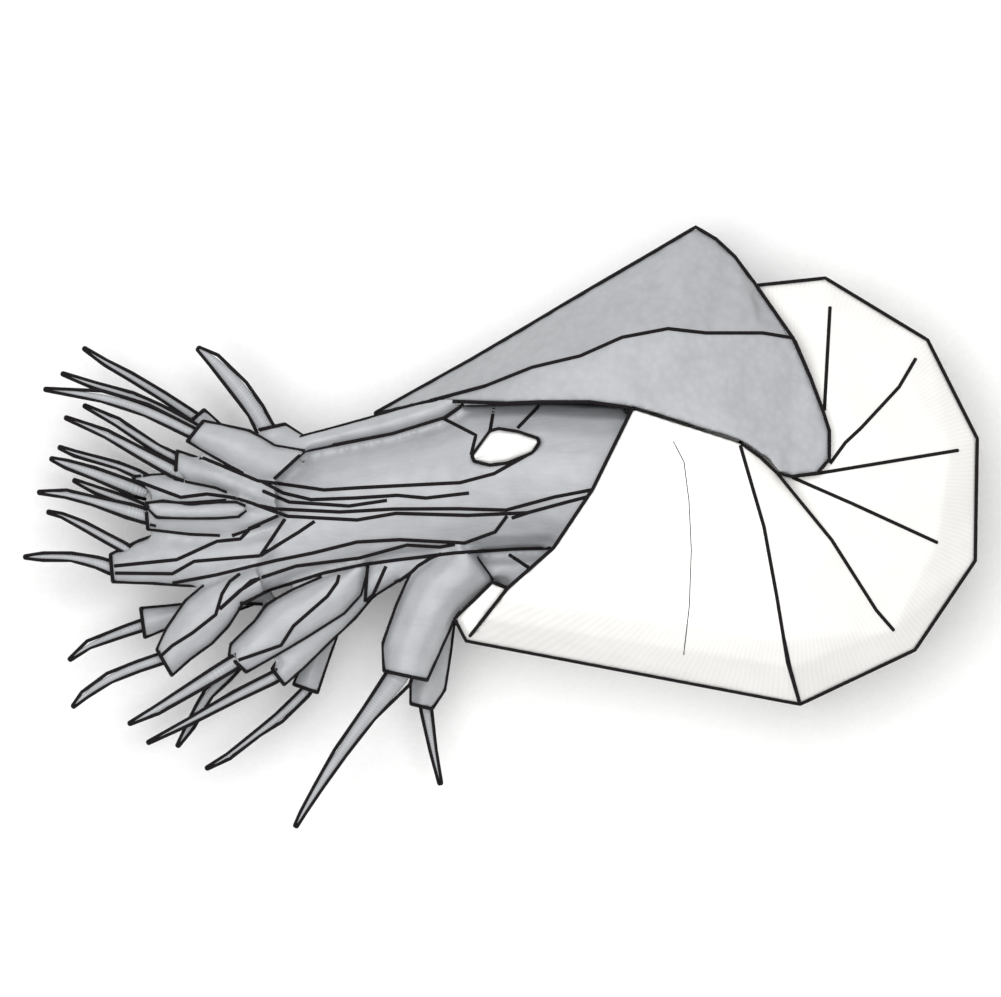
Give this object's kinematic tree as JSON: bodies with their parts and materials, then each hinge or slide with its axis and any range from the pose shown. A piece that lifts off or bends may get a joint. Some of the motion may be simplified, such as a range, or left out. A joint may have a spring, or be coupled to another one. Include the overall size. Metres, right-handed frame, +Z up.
{
  "type": "chambered nautilus in its shell",
  "caption": "Chambered nautilus lying on its flank: faceted coiled shell, fleshy hood over the coil, head with eyes, funnel, and spread arm sheaths with thin cirri.",
  "frame": {"origin": "under the middle of the bounding box, on the surface that the flank of the shell lies on", "axes": "-X towards the arms and +X towards the back of the coil, +Y towards the hood, +Z up, square to the animal's mirror plane"},
  "size_m": [0.2858, 0.18, 0.078],
  "materials": {
    "shell": "smooth porcelain-like shell",
    "skin": "moist grey skin",
    "hood": "leathery grey hood",
    "eye": "smooth white eye"
  },
  "bodies": {
    "root": {"cirrus_dorsal": "skin", "cirrus_dorsal_far": "skin", "cirrus_eighth": "skin", "cirrus_eighth_far": "skin", "cirrus_fifth_a": "skin", "cirrus_fifth_a_far": "skin", "cirrus_fifth_b": "skin", "cirrus_fourth_a": "skin", "cirrus_fourth_a_far": "skin", "cirrus_fourth_b": "skin", "cirrus_second_a": "skin", "cirrus_second_a_far": "skin", "cirrus_second_b": "skin", "cirrus_seventh_a": "skin", "cirrus_seventh_a_far": "skin", "cirrus_seventh_b": "skin", "cirrus_sixth": "skin", "cirrus_sixth_far": "skin", "cirrus_third_a": "skin", "cirrus_third_a_far": "skin", "cirrus_third_b": "skin", "cirrus_upper_a": "skin", "cirrus_upper_b": "skin", "cirrus_upper_far": "skin", "cirrus_ventral": "skin", "cirrus_ventral_far": "skin", "eye_far": "eye", "eye_near": "eye", "funnel": "skin", "head": "skin", "hood": "hood", "sheath_dorsal": "skin", "sheath_dorsal_far": "skin", "sheath_eighth": "skin", "sheath_eighth_far": "skin", "sheath_fifth": "skin", "sheath_fifth_far": "skin", "sheath_fold_flap": "skin", "sheath_fourth": "skin", "sheath_fourth_far": "skin", "sheath_second": "skin", "sheath_second_far": "skin", "sheath_seventh": "skin", "sheath_seventh_far": "skin", "sheath_sixth": "skin", "sheath_sixth_far": "skin", "sheath_third": "skin", "sheath_third_far": "skin", "sheath_upper": "skin", "sheath_upper_far": "skin", "sheath_ventral": "skin", "sheath_ventral_far": "skin", "shell": "shell"}
  },
  "joints": []
}
